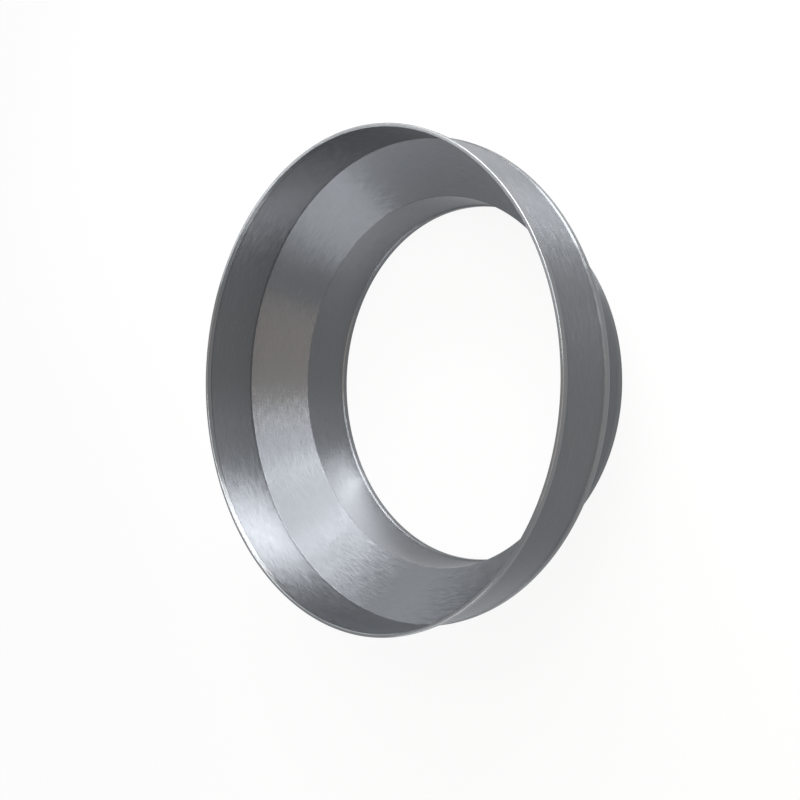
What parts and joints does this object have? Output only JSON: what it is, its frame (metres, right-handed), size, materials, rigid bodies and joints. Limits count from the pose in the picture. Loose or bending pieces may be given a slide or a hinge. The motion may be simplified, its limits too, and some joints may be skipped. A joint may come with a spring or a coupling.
{
  "type": "conical pipe reducer",
  "caption": "Thin-walled round pipe reducer: a wide collar, a cone and a narrow collar in one piece, with a rounded lip at each mouth.",
  "frame": {"origin": "centre of the narrow mouth's rim, on the plane that the part stands on", "axes": "+Z along the axis of both collars, from the narrow mouth to the wide mouth"},
  "size_m": [0.25, 0.25, 0.0884],
  "materials": {
    "shell": "brushed around the axis, satin"
  },
  "bodies": {
    "root": {"reducer_shell": "shell"}
  },
  "joints": []
}
